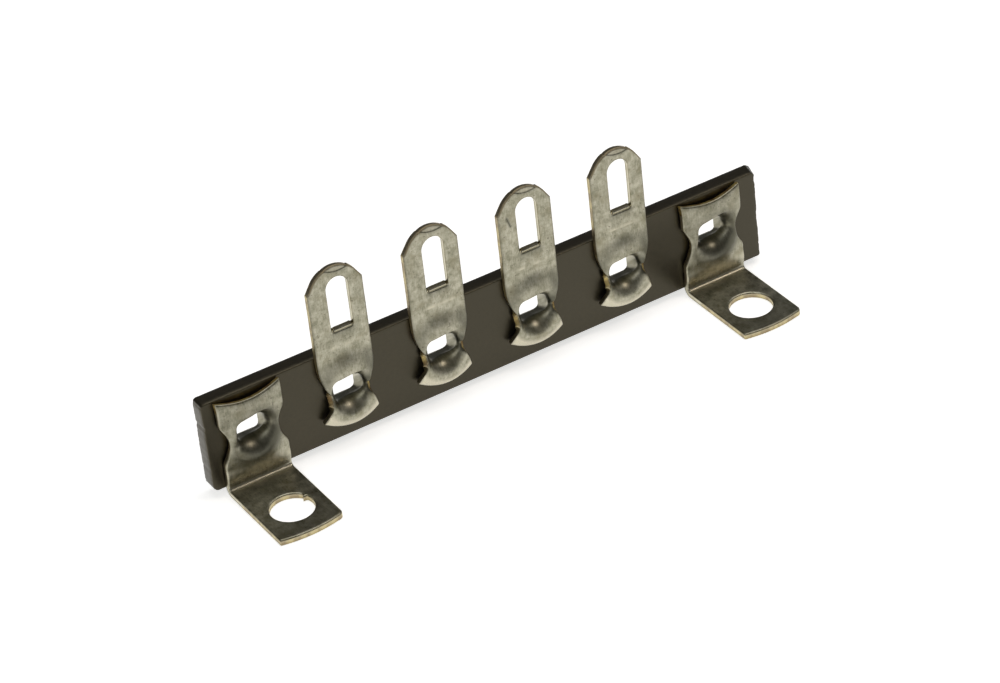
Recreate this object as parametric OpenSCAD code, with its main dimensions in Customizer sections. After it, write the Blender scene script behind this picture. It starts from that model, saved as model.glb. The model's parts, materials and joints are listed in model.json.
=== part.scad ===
// Terminal strip: a phenolic board that carries four solder lugs between two mounting feet.
// +X runs along the strip, +Z is up from the mounting surface and the feet point to -Y.
// The origin is on the mounting surface, midway between the two screw holes of the feet.

/* [Row] */
// Distance from one lug or foot to the next
pitch = 9.525; // [8.5:0.025:12]

/* [Board] */
// Length of the board
board_len = 57.15; // [56:0.05:64]
// Height of the board
board_h = 9; // [8:0.1:10.5]
// Thickness of the board
board_t = 1.6; // [1.2:0.05:2.4]
// Air under the board, above the mounting surface
board_lift = 0.64; // [0.5:0.02:1]
// How far the board's middle lies right of the row's middle
board_shift = 0.5; // [-0.6:0.05:0.6]
// Radius of the board's four corners
board_corner_r = 0.5; // [0.2:0.05:1]

/* [Sheet] */
// Thickness of the lug and foot sheet
sheet_t = 0.56; // [0.45:0.01:0.7]

/* [Lug] */
// Width of a lug
lug_w = 5.44; // [5:0.02:6.2]
// Height of a lug's tip above its eyelet
lug_reach = 13.13; // [12.5:0.05:15]
// Radius of a lug's rounded tip
tip_r = 2.55; // [2.2:0.05:2.8]
// Slope of the straight flanks beside the tip, from upright
tip_angle = 33; // [28:1:38]
// Air between the board and the upright part of a lug
lug_gap = 0.16; // [0.05:0.01:0.3]
// Width of the wire slot
slot_w = 2.16; // [1.6:0.02:2.6]
// Length of the wire slot
slot_len = 5.33; // [4:0.05:5.6]
// Height of the slot's lower end above the eyelet
slot_start = 6.61; // [6:0.05:7]
// Radius of the slot's two lower corners
slot_corner_r = 0.25; // [0.1:0.05:0.6]
// How far the slot lies right of the lug's centre line
slot_shift = 0.24; // [-0.3:0.02:0.3]
// Height above the eyelet where a lug starts to draw in
shoulder_rise = 3.16; // [2.8:0.05:3.6]
// Radius of the drawn-in shoulders
shoulder_r = 4.35; // [4:0.05:5]
// Width of a lug at its eyelet
lug_waist_w = 3.4; // [3.3:0.02:3.8]
// Spread of the fan's flanks, from upright
fan_angle = 30; // [24:1:36]
// Depth below the eyelet where the fan starts
fan_neck = 0.34; // [0.1:0.02:0.6]
// Depth of the fan's lowest point below the eyelet
fan_drop = 3.04; // [2.7:0.02:3.4]
// Radius of the fan's lower edge
fan_r = 4.5; // [3.8:0.1:6]

/* [Foot] */
// Width of a foot
foot_w = 6.28; // [5.8:0.02:7]
// Height of a foot's upper corners above its eyelet
tab_rise = 4.5; // [3.7:0.02:4.7]
// Dip of the hollow upper edge between those corners
tab_dip = 0.6; // [0.2:0.05:0.8]
// Width of a foot at its eyelet
foot_waist_w = 4.9; // [4.86:0.02:5.4]
// Radius of the two waist cuts of a foot
foot_waist_r = 2.6; // [2:0.05:3]
// Radius inside the right-angle bend
bend_r = 0.4; // [0.2:0.05:0.7]
// Distance of the screw hole's centre from the board's face
hole_reach = 6.06; // [5.4:0.02:7]
// Diameter of the screw hole
hole_d = 3.97; // [3:0.01:4.3]
// Distance of the plate's front edge from the board's face, on the middle line
plate_reach = 9.95; // [9.4:0.05:12]
// Bulge of the plate's front edge between its corners
plate_bulge = 0.35; // [0.1:0.05:0.8]

/* [Eyelet] */
// Width of the square opening through an eyelet
eyelet_w = 2.76; // [2.4:0.02:2.8]
// Radius of the opening's corners
eyelet_corner_r = 0.45; // [0.2:0.05:0.7]
// Wall of the square neck inside the board
eyelet_wall = 0.3; // [0.2:0.02:0.4]
// Radius of the eyelet's rounded mouth, over its front surface
lip_r = 0.92; // [0.8:0.02:1]
// How far the eyelet lies right of its piece's centre line
eyelet_shift = 0.12; // [-0.14:0.02:0.14]
// Width of each of the four petals behind the board
petal_w = 2.2; // [1.4:0.05:2.4]
// Length of each petal past the neck
petal_len = 1; // [0.5:0.05:1.3]
// Thickness of a petal
petal_t = 0.3; // [0.2:0.02:0.4]
// Clearance around the neck in the board's hole
neck_clear = 0.03; // [0.02:0.01:0.08]

/* [Hidden] */
$fn = 96;

// A foot stands at each end of the row and the lugs fill the places between
places = 6;
function place_x(i) = (i - (places - 1) / 2) * pitch;

// The eyelets lie on the board's middle line
eyelet_z = board_lift + board_h / 2;
neck_w = eyelet_w + 2 * eyelet_wall;
neck_corner_r = eyelet_corner_r + eyelet_wall;
// The mouth is rounded from its rim down to the board's face, and its rim stands off the board
mouth_r = eyelet_w / 2 + lip_r;
crest = lip_r - sheet_t;

// Where the tip's arc runs into its flanks, and where the flanks meet the sides
tip_centre = lug_reach - tip_r;
flank_top = [tip_r * cos(tip_angle), tip_centre + tip_r * sin(tip_angle)];
side_rise = tip_centre - (lug_w / 2 * cos(tip_angle) - tip_r) / sin(tip_angle);

// The fan's two points, where its flanks meet its lower edge
fan_slope = tan(fan_angle);
fan_apex = lug_waist_w / 2 / fan_slope - fan_neck;
fan_centre = fan_r - fan_drop;
fan_a = fan_slope * fan_slope + 1;
fan_b = fan_slope * fan_slope * fan_apex + fan_centre;
fan_c = pow(fan_slope * fan_apex, 2) + fan_centre * fan_centre - fan_r * fan_r;
fan_v = (fan_b - sqrt(fan_b * fan_b - fan_a * fan_c)) / fan_a;
fan_point = [(fan_apex - fan_v) * fan_slope, fan_v];
// The fan leans back from the mouth's rim until its points touch the board
fan_touch_r = norm([fan_point.x + abs(eyelet_shift), fan_point.y]);

bend_out = bend_r + sheet_t;
// Arcs given by their chord and height
function arc_r(chord, height) = (chord * chord / 4 + height * height) / (2 * height);
tab_arc_r = arc_r(foot_w, tab_dip);
plate_arc_r = arc_r(foot_w, plate_bulge);
// Cutting bodies and outlines reach this far past what they cut
past = 5;

metal_colour = "#A8A492";
board_colour = "#3B372F";

// Turns a drawing in X and Z into a body from the board's face forward, or from it back
module forward(depth) {
    rotate([90, 0, 0])
        linear_extrude(depth)
            children();
}

module backward(depth) {
    rotate([90, 0, 0])
        translate([0, 0, -depth])
            linear_extrude(depth)
                children();
}

// Turns a section in Y and Z into a body of the given width along X
module across(width) {
    translate([-width / 2, 0, 0])
        rotate([90, 0, 90])
            linear_extrude(width)
                children();
}

module rounded_rect(w, h, r) {
    square([w - 2 * r, h], center = true);
    square([w, h - 2 * r], center = true);
    for (sx = [-1, 1], sy = [-1, 1])
        translate([sx * (w / 2 - r), sy * (h / 2 - r)])
            circle(r);
}

// Every stamped piece is drawn around its eyelet's height, on the board's face
module at_place(i) {
    translate([place_x(i), hole_reach, eyelet_z])
        children();
}

// The drawn mouth: a trumpet-shaped ring of sheet in front of the board
module mouth() {
    translate([eyelet_shift, 0, 0])
        rotate([90, 0, 0])
            rotate_extrude()
                intersection() {
                    translate([mouth_r, 0])
                        difference() {
                            circle(lip_r);
                            circle(crest);
                        }
                    translate([eyelet_w / 2, 0])
                        square(lip_r);
                }
}

module mouth_cut() {
    translate([eyelet_shift, 0, 0])
        forward(past)
            circle(mouth_r);
}

// The square neck through the board and the four petals spread behind it
module clinch() {
    translate([eyelet_shift, 0, 0])
        difference() {
            union() {
                backward(board_t + petal_t)
                    rounded_rect(neck_w, neck_w, neck_corner_r);
                translate([0, board_t, 0])
                    backward(petal_t) {
                        square([neck_w + 2 * petal_len, petal_w], center = true);
                        square([petal_w, neck_w + 2 * petal_len], center = true);
                    }
            }
            translate([0, -past, 0])
                backward(board_t + petal_t + 2 * past)
                    rounded_rect(eyelet_w, eyelet_w, eyelet_corner_r);
        }
}

// A lug seen from the front: rounded tip, straight sides, drawn-in shoulders, waist and fan
module lug_outline() {
    translate([0, tip_centre])
        circle(tip_r);
    polygon([
        [-lug_w / 2, shoulder_rise],
        [lug_w / 2, shoulder_rise],
        [lug_w / 2, side_rise],
        flank_top,
        [-flank_top.x, flank_top.y],
        [-lug_w / 2, side_rise]
    ]);
    intersection() {
        intersection_for (side = [-1, 1])
            translate([side * (shoulder_r - lug_w / 2), shoulder_rise])
                circle(shoulder_r);
        translate([-lug_w / 2, 0])
            square([lug_w, shoulder_rise]);
    }
    square([lug_waist_w, eyelet_w], center = true);
    intersection() {
        translate([0, fan_centre])
            circle(fan_r);
        polygon([
            [0, fan_apex],
            [-fan_slope * (fan_apex + fan_drop), -fan_drop],
            [fan_slope * (fan_apex + fan_drop), -fan_drop]
        ]);
    }
}

// The wire slot: round at the top, square with eased corners at the bottom
module slot_outline() {
    ease = slot_corner_r;
    translate([slot_shift, slot_start]) {
        translate([0, slot_len - slot_w / 2])
            circle(slot_w / 2);
        translate([-slot_w / 2, ease])
            square([slot_w, slot_len - slot_w / 2 - ease]);
        translate([ease - slot_w / 2, 0])
            square([slot_w - 2 * ease, 2 * ease]);
        for (side = [-1, 1])
            translate([side * (slot_w / 2 - ease), ease])
                circle(ease);
    }
}

// The sheet above the eyelet: level with the mouth's rim, then back towards the board and upright
module lug_blade() {
    across(lug_w)
        polygon([
            [-crest, 0],
            [-crest, mouth_r],
            [-lug_gap, board_h / 2],
            [-lug_gap, lug_reach],
            [-lug_gap - sheet_t, lug_reach],
            [-lug_gap - sheet_t, board_h / 2],
            [-lip_r, mouth_r],
            [-lip_r, 0]
        ]);
}

// The sheet below the eyelet: a cone that leans back to the board
module lug_fan() {
    intersection() {
        translate([eyelet_shift, 0, 0])
            rotate([90, 0, 0])
                rotate_extrude()
                    polygon([
                        [mouth_r, crest],
                        [mouth_r, lip_r],
                        [fan_touch_r, sheet_t],
                        [fan_touch_r, 0]
                    ]);
        translate([0, 0, -lug_w])
            cube([2 * lug_w, 2 * lug_w, 2 * lug_w], center = true);
    }
}

module lug(i) {
    color(metal_colour)
        at_place(i) {
            difference() {
                intersection() {
                    union() {
                        difference() {
                            lug_blade();
                            mouth_cut();
                        }
                        lug_fan();
                        mouth();
                    }
                    forward(past)
                        lug_outline();
                }
                forward(past)
                    slot_outline();
            }
            clinch();
        }
}

// A foot's section, from the plate's front edge through the bend to the tab's upper corners
module foot_section() {
    translate([-plate_reach, 0])
        square([plate_reach - bend_out, sheet_t]);
    intersection() {
        translate([-bend_out, bend_out])
            difference() {
                circle(bend_out);
                circle(bend_r);
            }
        translate([-bend_out, 0])
            square(bend_out);
    }
    polygon([
        [0, bend_out],
        [-crest, eyelet_z - mouth_r],
        [-crest, eyelet_z + tab_rise],
        [-lip_r, eyelet_z + tab_rise],
        [-lip_r, eyelet_z - mouth_r],
        [-sheet_t, bend_out]
    ]);
}

// What is cut from the folded sheet: waist, hollow upper edge and screw hole
module foot_cuts() {
    for (side = [-1, 1])
        forward(past)
            translate([side * (foot_waist_w / 2 + foot_waist_r), 0])
                circle(foot_waist_r);
    forward(past)
        translate([0, tab_rise - tab_dip + tab_arc_r])
            circle(tab_arc_r);
    translate([0, -hole_reach, -eyelet_z - past])
        cylinder(h = 2 * past, d = hole_d);
}

module foot(i) {
    color(metal_colour)
        at_place(i) {
            difference() {
                union() {
                    difference() {
                        translate([0, 0, -eyelet_z])
                            intersection() {
                                across(foot_w)
                                    foot_section();
                                linear_extrude(eyelet_z + tab_rise)
                                    translate([0, plate_arc_r - plate_reach])
                                        circle(plate_arc_r);
                            }
                        mouth_cut();
                    }
                    mouth();
                }
                foot_cuts();
            }
            clinch();
        }
}

module board() {
    color(board_colour)
        translate([0, hole_reach, eyelet_z])
            backward(board_t)
                difference() {
                    translate([board_shift, 0])
                        rounded_rect(board_len, board_h, board_corner_r);
                    for (i = [0:places - 1])
                        translate([place_x(i) + eyelet_shift, 0])
                            rounded_rect(
                                neck_w + 2 * neck_clear,
                                neck_w + 2 * neck_clear,
                                neck_corner_r + neck_clear
                            );
                }
}

module lug_1() { lug(1); }
module lug_2() { lug(2); }
module lug_3() { lug(3); }
module lug_4() { lug(4); }
module foot_left() { foot(0); }
module foot_right() { foot(places - 1); }

board();
lug_1();
lug_2();
lug_3();
lug_4();
foot_left();
foot_right();
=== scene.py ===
import json
import math

import bpy
import numpy as np
from mathutils import Matrix, Vector
from mathutils.geometry import delaunay_2d_cdt
from mathutils.kdtree import KDTree


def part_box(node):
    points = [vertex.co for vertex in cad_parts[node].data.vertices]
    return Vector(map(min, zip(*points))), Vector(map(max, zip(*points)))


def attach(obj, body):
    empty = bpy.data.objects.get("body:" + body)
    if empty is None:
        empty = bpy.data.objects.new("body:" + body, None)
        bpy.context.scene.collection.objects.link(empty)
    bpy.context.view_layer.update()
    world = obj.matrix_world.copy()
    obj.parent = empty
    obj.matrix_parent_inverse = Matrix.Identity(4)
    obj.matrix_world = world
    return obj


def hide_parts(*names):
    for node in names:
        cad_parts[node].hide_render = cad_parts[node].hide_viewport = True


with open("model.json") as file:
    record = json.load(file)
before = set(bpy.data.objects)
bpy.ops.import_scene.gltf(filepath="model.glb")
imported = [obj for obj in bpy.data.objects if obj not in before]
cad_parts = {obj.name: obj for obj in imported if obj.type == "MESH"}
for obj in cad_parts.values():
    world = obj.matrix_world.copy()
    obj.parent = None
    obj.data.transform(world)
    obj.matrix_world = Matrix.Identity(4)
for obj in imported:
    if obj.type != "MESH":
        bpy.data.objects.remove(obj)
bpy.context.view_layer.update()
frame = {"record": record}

# Board
# A strip of pressed paper laminate, bonded with dark phenolic resin and punched from a larger sheet.
# Its ends are sheared and a little ragged, the right one breaks out behind, and one lower corner is chipped.

MM = 0.001
board_low, board_high = (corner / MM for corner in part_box("board"))
FACE_Y = board_low.y
BOARD_T = board_high.y - board_low.y
mounts = {mount["name"]: Vector(mount["pos_m"]) / MM for mount in frame["record"]["mounts"]}
EYELET_Z = mounts["wire_eyelet_1"].z
LUG_NAMES = ["lug_1", "lug_2", "lug_3", "lug_4"]
FOOT_NAMES = ["foot_left", "foot_right"]


def middle_x(name):
    """The centre line of a stamped piece, in millimetres along the strip."""
    low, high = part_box(name)
    return (low.x + high.x) / 2 / MM


def linear(code):
    """Linear colour of an sRGB hex value."""
    parts = [int(code[at:at + 2], 16) / 255 for at in (1, 3, 5)]
    return [c / 12.92 if c <= 0.04045 else ((c + 0.055) / 1.055) ** 2.4 for c in parts] + [1]


def add(tree, kind, sockets=None, **settings):
    """Adds a node with its settings, and fills each socket with a value or a link."""
    made = tree.nodes.new(kind)
    for name, value in settings.items():
        setattr(made, name, value)
    for name, value in (sockets or {}).items():
        if isinstance(value, bpy.types.NodeSocket):
            tree.links.new(value, made.inputs[name])
        else:
            made.inputs[name].default_value = value
    return made


def arc(centre, radius, start, end, step=0.08):
    """Points along an arc between two angles in degrees, at most a step apart."""
    count = max(3, math.ceil(abs(math.radians(end - start)) * radius / step) + 1)
    turn = np.radians(np.linspace(start, end, count))
    return np.column_stack([centre[0] + radius * np.cos(turn), centre[1] + radius * np.sin(turn)])


def closed(stretches, step):
    """One closed outline from several stretches, with its straight runs cut into steps."""
    corners = np.vstack(stretches)
    corners = corners[np.linalg.norm(corners - np.roll(corners, 1, axis=0), axis=1) > 1e-4]
    points = []
    for start, end in zip(corners, np.roll(corners, -1, axis=0)):
        count = max(1, math.ceil(np.linalg.norm(end - start) / step))
        points.extend(start + (end - start) * k / count for k in range(count))
    return np.array(points)


def inside(points, loops):
    """Which points lie inside the first loop and outside the holes."""
    odd = np.zeros(len(points), bool)
    for loop in loops:
        for (x0, y0), (x1, y1) in zip(loop, np.roll(loop, -1, axis=0)):
            if y0 == y1:
                continue
            crosses = (y0 > points[:, 1]) != (y1 > points[:, 1])
            odd ^= crosses & (points[:, 0] < x0 + (points[:, 1] - y0) * (x1 - x0) / (y1 - y0))
    return odd


def edge_distance(points, loops):
    """Distance of each point from the nearest outline."""
    best = np.full(len(points), np.inf)
    for loop in loops:
        for start, end in zip(loop, np.roll(loop, -1, axis=0)):
            run = end - start
            along = np.clip((points - start) @ run / (run @ run), 0, 1)
            best = np.minimum(best, np.hypot(*(points - start - along[:, None] * run).T))
    return best


# How far a new point of a mesh keeps from those placed before it, and the height of a row of even triangles.
CREASE_CLEAR = 0.015
ROW_CLEAR = 0.02
RING_CLEAR = 0.03
GRID_CLEAR = 0.6
TRIANGLE_RISE = 0.866


def punch(loops, spacing, rows, rings=(), creases=()):
    """Cuts a flat blank into small triangles: points along its creases, rows beside its sheared edges,
    rings over a drawn mouth whose throat is the last loop, and an even field over the rest."""
    sheared = loops[:-1] if len(rings) else loops
    border = np.vstack(loops)
    fields = [(crease, CREASE_CLEAR) for crease in creases]
    for loop in sheared:
        run = np.roll(loop, -1, axis=0) - np.roll(loop, 1, axis=0)
        across = np.column_stack([run[:, 1], -run[:, 0]]) / np.linalg.norm(run, axis=1)[:, None]
        for row in rows:
            beside = np.vstack([loop + row * across, loop - row * across])
            fields.append((beside[edge_distance(beside, loops) > 0.93 * row], ROW_CLEAR))
    fields += [(ring, RING_CLEAR) for ring in rings]
    low, high = border.min(0), border.max(0)
    column, line = np.meshgrid(
        np.arange(int((high[0] - low[0]) / spacing) + 2),
        np.arange(int((high[1] - low[1]) / (spacing * TRIANGLE_RISE)) + 2),
    )
    grid = np.column_stack([
        (low[0] + spacing * (column + 0.5 * (line % 2))).ravel(),
        (low[1] + spacing * TRIANGLE_RISE * line).ravel(),
    ])
    if len(rings):
        grid = grid[~inside(grid, rings[:1])]
    fields.append((grid, GRID_CLEAR * spacing))
    points = border
    for field, clear in fields:
        field = field[inside(field, loops)]
        taken = KDTree(len(points))
        for k, (x, y) in enumerate(points):
            taken.insert((x, y, 0), k)
        taken.balance()
        free = [taken.find((x, y, 0))[2] > clear for x, y in field]
        points = np.vstack([points, field[np.array(free, bool)]])

    edges = []
    first = 0
    for loop in loops:
        edges += [(first + k, first + (k + 1) % len(loop)) for k in range(len(loop))]
        first += len(loop)
    made = delaunay_2d_cdt([Vector(point) for point in points], edges, [], 0, 1e-5)
    flat = np.array([(corner.x, corner.y) for corner in made[0]])
    triangles = np.array(made[2])
    triangles = triangles[inside(flat[triangles].mean(1), loops)]
    a, b, c = flat[triangles].transpose(1, 0, 2)
    turned = (b[:, 0] - a[:, 0]) * (c[:, 1] - a[:, 1]) < (b[:, 1] - a[:, 1]) * (c[:, 0] - a[:, 0])
    triangles[turned] = triangles[turned][:, ::-1]
    place_of = {source: k for k, sources in enumerate(made[3]) for source in sources}
    throat = [place_of[len(border) - len(loops[-1]) + k] for k in range(len(loops[-1]))]
    return flat, [tuple(triangle) for triangle in triangles.tolist()], throat


def rolled(rim, radius, depth):
    """How far the surface falls away beside an edge that shearing has rolled over."""
    near = np.clip(1 - rim / radius, 0, 1)
    return depth * (1 - np.sqrt(1 - near ** 2))


WALL_ROWS = 3
SHARP_FROM = math.radians(55)


def solid_sheet(name, front, faces, thick, marks, front_roll, back_roll, materials):
    """A closed piece of sheet from its front surface: the back, the sheared walls and the rolled edges.

    The marks tell the materials about each point. All pieces have its distance from an edge (rim).
    The stampings also have its place on the flat blank (blank), how far it was drawn into an eyelet (drawn),
    how far it is pressed smoother and painted lighter as painted light and highlight (pressed),
    how far it is painted darker, mostly as painted shade (darkening), and where bare brass (bare) or tarnish
    (tarnished) shows.
    The depth from the front to the back (depth) is added here."""
    count = len(front)
    corners = np.array([face[:3] for face in faces] + [(f[0], f[2], f[3]) for f in faces if len(f) == 4])
    a, b, c = front[corners].transpose(1, 0, 2)
    facing = np.cross(b - a, c - a)
    normals = np.zeros_like(front)
    for k in range(3):
        np.add.at(normals, corners[:, k], facing)
    normals /= np.linalg.norm(normals, axis=1)[:, None]
    rim = marks["rim"]
    top = front - normals * rolled(rim, *front_roll)[:, None]
    bottom = front - normals * (thick - rolled(rim, *back_roll))[:, None]

    directed = np.array([edge for face in faces for edge in zip(face, face[1:] + face[:1])])
    codes = directed[:, 0] * count + directed[:, 1]
    open_edges = directed[~np.isin(codes, directed[:, 1] * count + directed[:, 0])]
    border = np.unique(open_edges)
    points = [top, bottom]
    depth = [np.zeros(count), np.ones(count)]
    source = [np.arange(count), np.arange(count)]
    rows = [{k: k for k in border.tolist()}]
    for row in range(1, WALL_ROWS):
        share = row / WALL_ROWS
        first = 2 * count + (row - 1) * len(border)
        rows.append({k: first + at for at, k in enumerate(border.tolist())})
        points.append(top[border] * (1 - share) + bottom[border] * share)
        depth.append(np.full(len(border), share))
        source.append(border)
    rows.append({k: k + count for k in border.tolist()})
    walls = []
    for start, end in open_edges.tolist():
        for upper, lower in zip(rows, rows[1:]):
            walls.append((upper[end], upper[start], lower[start], lower[end]))
    backs = [tuple(k + count for k in reversed(face)) for face in faces]

    mesh = bpy.data.meshes.new(name)
    mesh.from_pydata((np.vstack(points) * MM).tolist(), [], list(faces) + backs + walls)
    source = np.concatenate(source)
    marks = {label: values[source] for label, values in marks.items()}
    marks["depth"] = np.concatenate(depth)
    for label, values in marks.items():
        kind, field = ("FLOAT_VECTOR", "vector") if values.ndim == 2 else ("FLOAT", "value")
        mesh.attributes.new(label, kind, "POINT").data.foreach_set(field, values.astype(np.float32).ravel())
    for material in materials:
        mesh.materials.append(material)
    finish = np.zeros(len(mesh.polygons), np.int32)
    finish[2 * len(faces):] = len(materials) - 1
    mesh.polygons.foreach_set("material_index", finish)
    mesh.shade_smooth()
    mesh.set_sharp_from_angle(angle=SHARP_FROM)
    piece = bpy.data.objects.new(name, mesh)
    bpy.context.scene.collection.objects.link(piece)
    return piece


# Phenolic paper laminate: near black brown, with a hard resin skin that mirrors what stands before it.
# The skin is faintly mottled, the cut edges show the paper layers, and a pale line along the rim of the front
# skin is paper fibre and painted edge highlight.
# The grit and the layers are drawn coarser than they are, because the real ones are too fine to show.
RESIN = "#15130F"
RESIN_PALE = "#221E17"
RESIN_SHEEN = "#FFF2CB"
FIBRE_AND_HIGHLIGHT = "#3C372C"
MOTTLE_MM = 0.35
GRIT_MM = 0.09
GRIT_DEEP_MM = 0.006
LAYER_MM = 0.16
LAYER_LENGTH_MM = 16.667
FIBRE_HIGHLIGHT_RIM_MM = 0.1


def phenolic_laminate():
    material = bpy.data.materials.new("phenolic_paper_laminate")
    material.use_nodes = True
    tree = material.node_tree
    shader = tree.nodes["Principled BSDF"]
    place = add(tree, "ShaderNodeTexCoord").outputs["Object"]
    mottle = add(tree, "ShaderNodeTexNoise", {"Vector": place, "Scale": 1 / (MOTTLE_MM * MM), "Detail": 4.0})
    grit = add(tree, "ShaderNodeTexNoise", {"Vector": place, "Scale": 1 / (GRIT_MM * MM), "Detail": 2.0})
    along = 1 / (LAYER_LENGTH_MM * MM)
    across = add(tree, "ShaderNodeMapping", {"Vector": place, "Scale": (along, 1 / (LAYER_MM * MM), along)})
    layer = add(tree, "ShaderNodeTexNoise", {"Vector": across.outputs[0], "Scale": 1.0, "Detail": 2.0})
    # Paper fibre and painted edge highlight: a pale line along the rim of the front skin.
    rim = add(tree, "ShaderNodeAttribute", attribute_name="rim").outputs["Fac"]
    fibre_and_highlight = add(tree, "ShaderNodeMapRange", {
        "Value": rim, "From Min": 0.0, "From Max": FIBRE_HIGHLIGHT_RIM_MM, "To Min": 1.0, "To Max": 0.0,
    })
    fibre_and_highlight = add(tree, "ShaderNodeMath", {0: fibre_and_highlight.outputs[0], 1: grit.outputs["Fac"]}, operation="MULTIPLY")
    depth = add(tree, "ShaderNodeAttribute", attribute_name="depth").outputs["Fac"]
    skin = add(tree, "ShaderNodeMapRange", {
        "Value": depth, "From Min": 0.0, "From Max": 0.15, "To Min": 1.0, "To Max": 0.0,
    })
    fibre_and_highlight = add(tree, "ShaderNodeMath", {0: fibre_and_highlight.outputs[0], 1: skin.outputs[0]}, operation="MULTIPLY")
    tone = add(tree, "ShaderNodeMath", {
        0: mottle.outputs["Fac"], 1: layer.outputs["Fac"],
    }, operation="MULTIPLY")
    tone = add(tree, "ShaderNodeMapRange", {"Value": tone.outputs[0], "From Min": 0.15, "From Max": 0.38})
    resin = add(tree, "ShaderNodeMix", {
        0: tone.outputs[0], 6: linear(RESIN), 7: linear(RESIN_PALE),
    }, data_type="RGBA")
    colour = add(tree, "ShaderNodeMix", {
        0: fibre_and_highlight.outputs[0], 6: resin.outputs[2], 7: linear(FIBRE_AND_HIGHLIGHT),
    }, data_type="RGBA")
    rough = add(tree, "ShaderNodeMapRange", {"Value": mottle.outputs["Fac"], "To Min": 0.26, "To Max": 0.44})
    bump = add(tree, "ShaderNodeBump", {
        "Height": grit.outputs["Fac"], "Distance": GRIT_DEEP_MM * MM, "Strength": 0.6,
    })
    tree.links.new(colour.outputs[2], shader.inputs["Base Color"])
    tree.links.new(rough.outputs[0], shader.inputs["Roughness"])
    tree.links.new(bump.outputs[0], shader.inputs["Normal"])
    shader.inputs["IOR"].default_value = 1.6
    shader.inputs["Specular Tint"].default_value = linear(RESIN_SHEEN)
    return material


EYELET_HALF = 1.38
NECK_WALL = 0.3
HOLE_PLAY = 0.08
HOLE_CORNER_R = 0.78
CORNER_UPPER_LEFT = 0.4
CORNER_UPPER_RIGHT = 0.45
CORNER_LOWER_RIGHT = 0.18
CORNER_LOWER_LEFT = 0.55
BOARD_ROLL = (0.09, 0.07)
BOARD_STEP = 0.2
BOARD_GRID = 0.4
BOARD_ROWS = (0.02, 0.05, 0.09)
RAGGED = 0.05
RAGGED_REACH = 0.3
BREAK_OUT = 0.5
BREAK_OUT_REACH = 1.0


def board_outline():
    """Counter-clockwise from the lower right corner, in millimetres from the eyelets' height."""
    left, right = board_low.x, board_high.x
    low, high = board_low.z - EYELET_Z, board_high.z - EYELET_Z
    stretches = []
    for x, z, radius, start in (
        (right, low, CORNER_LOWER_RIGHT, -90),
        (right, high, CORNER_UPPER_RIGHT, 0),
        (left, high, CORNER_UPPER_LEFT, 90),
        (left, low, CORNER_LOWER_LEFT, 180),
    ):
        centre = (x - math.copysign(radius, x), z - math.copysign(radius, z))
        stretches.append(arc(centre, radius, start, start + 90))
    outline = closed(stretches, BOARD_STEP)
    noise = np.random.default_rng(11).normal(0, 1, len(outline) + 2)
    ragged = np.abs(noise[:-2] + noise[1:-1] + noise[2:]) / 2
    at_end = np.abs(outline[:, 0] - (left + right) / 2) > (right - left) / 2 - RAGGED_REACH
    outline[:, 0] -= np.sign(outline[:, 0]) * ragged * at_end * RAGGED
    return outline


# The eyelets all sit a little right of their pieces' centre lines and above the line of the waists.
# A throat is a little lower than it is wide, because its underside is pressed flat.
EYELET_SHIFT = mounts["wire_eyelet_1"].x - middle_x("lug_1")
EYELET_LIFT = {"lug": 0.2, "foot": 0.26}
REAR_SQUEEZE = {"lug": 0.12, "foot": 0.3}


def eyelet_hole(name):
    """The square hole that a piece's eyelet passes through."""
    kind = name.split("_")[0]
    x = middle_x(name) + EYELET_SHIFT
    z = EYELET_LIFT[kind] + REAR_SQUEEZE[kind] / 2
    across = EYELET_HALF + NECK_WALL + HOLE_PLAY - HOLE_CORNER_R
    up = across - REAR_SQUEEZE[kind] / 2
    corners = ((1, -1, -90), (1, 1, 0), (-1, 1, 90), (-1, -1, 180))
    return closed([
        arc((x + across * side, z + up * end), HOLE_CORNER_R, start, start + 90)
        for side, end, start in corners
    ], BOARD_STEP)


board_loops = [board_outline()] + [eyelet_hole(name) for name in FOOT_NAMES + LUG_NAMES]
flat, faces, _ = punch(board_loops, BOARD_GRID, BOARD_ROWS)
board = solid_sheet(
    "board_laminate", np.column_stack([flat[:, 0], np.full(len(flat), FACE_Y), flat[:, 1] + EYELET_Z]), faces,
    BOARD_T, {"rim": edge_distance(flat, board_loops)}, BOARD_ROLL, BOARD_ROLL, [phenolic_laminate()],
)
# The right end breaks out: behind, the sheet reaches further than in front.
for corner in board.data.vertices:
    behind = (corner.co.y / MM - FACE_Y) / BOARD_T
    near_end = 1 - (board_high.x - corner.co.x / MM) / BREAK_OUT_REACH
    corner.co.x += BREAK_OUT * MM * behind * min(max(near_end, 0), 1)
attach(board, "root")
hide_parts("board")

# Lugs
# Each solder lug is stamped from tinned brass sheet: a slotted blade, a waist and a fan that leans to the
# board. An eyelet is drawn out of the same sheet, pushed through the board, and torn into four petals behind
# it, which hold the lug.

SHEET_T = 0.56
EDGE_ROLL = (0.2, 0.13)
BURR_ROLL = (0.05, 0.03)
EDGE_ROWS = (0.025, 0.06, 0.11, 0.17, 0.24)
SHEET_STEP = 0.1
SHEET_GRID = 0.17
THROAT_CORNER_R = 0.45


def throat_radius(turn, squareness):
    """Distance of the throat's wall from its axis, between a circle and a square with rounded corners."""
    across, up = np.abs(np.cos(turn)), np.abs(np.sin(turn))
    reach = EYELET_HALF - THROAT_CORNER_R
    side = EYELET_HALF / np.maximum(across, up)
    along = reach * (across + up)
    corner = along + np.sqrt(np.maximum(along ** 2 - 2 * reach ** 2 + THROAT_CORNER_R ** 2, 0))
    square = np.where(np.minimum(across, up) * side > reach, corner, side)
    return EYELET_HALF + squareness * (square - EYELET_HALF)


def smooth(share):
    """Rises from 0 to 1 with no corner at either end."""
    share = np.clip(share, 0, 1)
    return share * share * (3 - 2 * share)


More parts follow.
